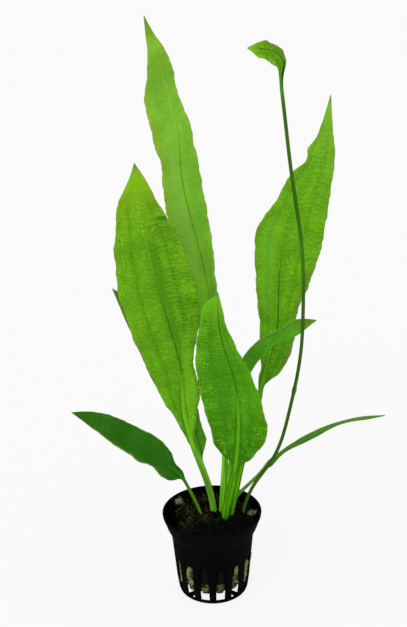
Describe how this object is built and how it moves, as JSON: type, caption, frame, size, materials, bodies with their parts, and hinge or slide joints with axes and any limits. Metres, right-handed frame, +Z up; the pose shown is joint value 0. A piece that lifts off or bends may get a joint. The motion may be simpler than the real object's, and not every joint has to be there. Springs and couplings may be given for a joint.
{
  "type": "potted amazon sword plant",
  "caption": "Aquarium plant with strap and lance shaped leaves on long stems, rooted in a mineral wool plug inside a slotted black net pot.",
  "frame": {"origin": "middle of the flat underside of the pot, on the surface it stands on", "axes": "+Z up along the pot's axis; -Y is the front, the side the broad front leaf leans to; +X to the right seen from the front"},
  "size_m": [0.17, 0.0895, 0.314],
  "materials": {
    "net_pot": "satin black moulded plastic",
    "rockwool_plug": "matte fibrous mineral wool grown over with dark moss",
    "crown": "matte plant tissue",
    "leaf_tall_back": "satin green leaf",
    "leaf_broad_left": "satin green leaf",
    "leaf_front": "satin green leaf",
    "leaf_behind_left": "satin green leaf",
    "leaf_right_back": "satin green leaf",
    "leaf_arching_right": "satin green leaf",
    "leaf_low_left": "satin green leaf",
    "leaf_low_right": "satin green leaf",
    "leaf_long_stalk": "satin green leaf",
    "wool_tuft_left": "matte pale fibres",
    "wool_tuft_right": "matte pale fibres"
  },
  "bodies": {
    "root": {"net_pot": "net_pot", "rockwool_plug": "rockwool_plug", "crown": "crown", "leaf_tall_back": "leaf_tall_back", "leaf_broad_left": "leaf_broad_left", "leaf_front": "leaf_front", "leaf_behind_left": "leaf_behind_left", "leaf_right_back": "leaf_right_back", "leaf_arching_right": "leaf_arching_right", "leaf_low_left": "leaf_low_left", "leaf_low_right": "leaf_low_right", "leaf_long_stalk": "leaf_long_stalk", "wool_tuft_left": "wool_tuft_left", "wool_tuft_right": "wool_tuft_right"}
  },
  "joints": []
}
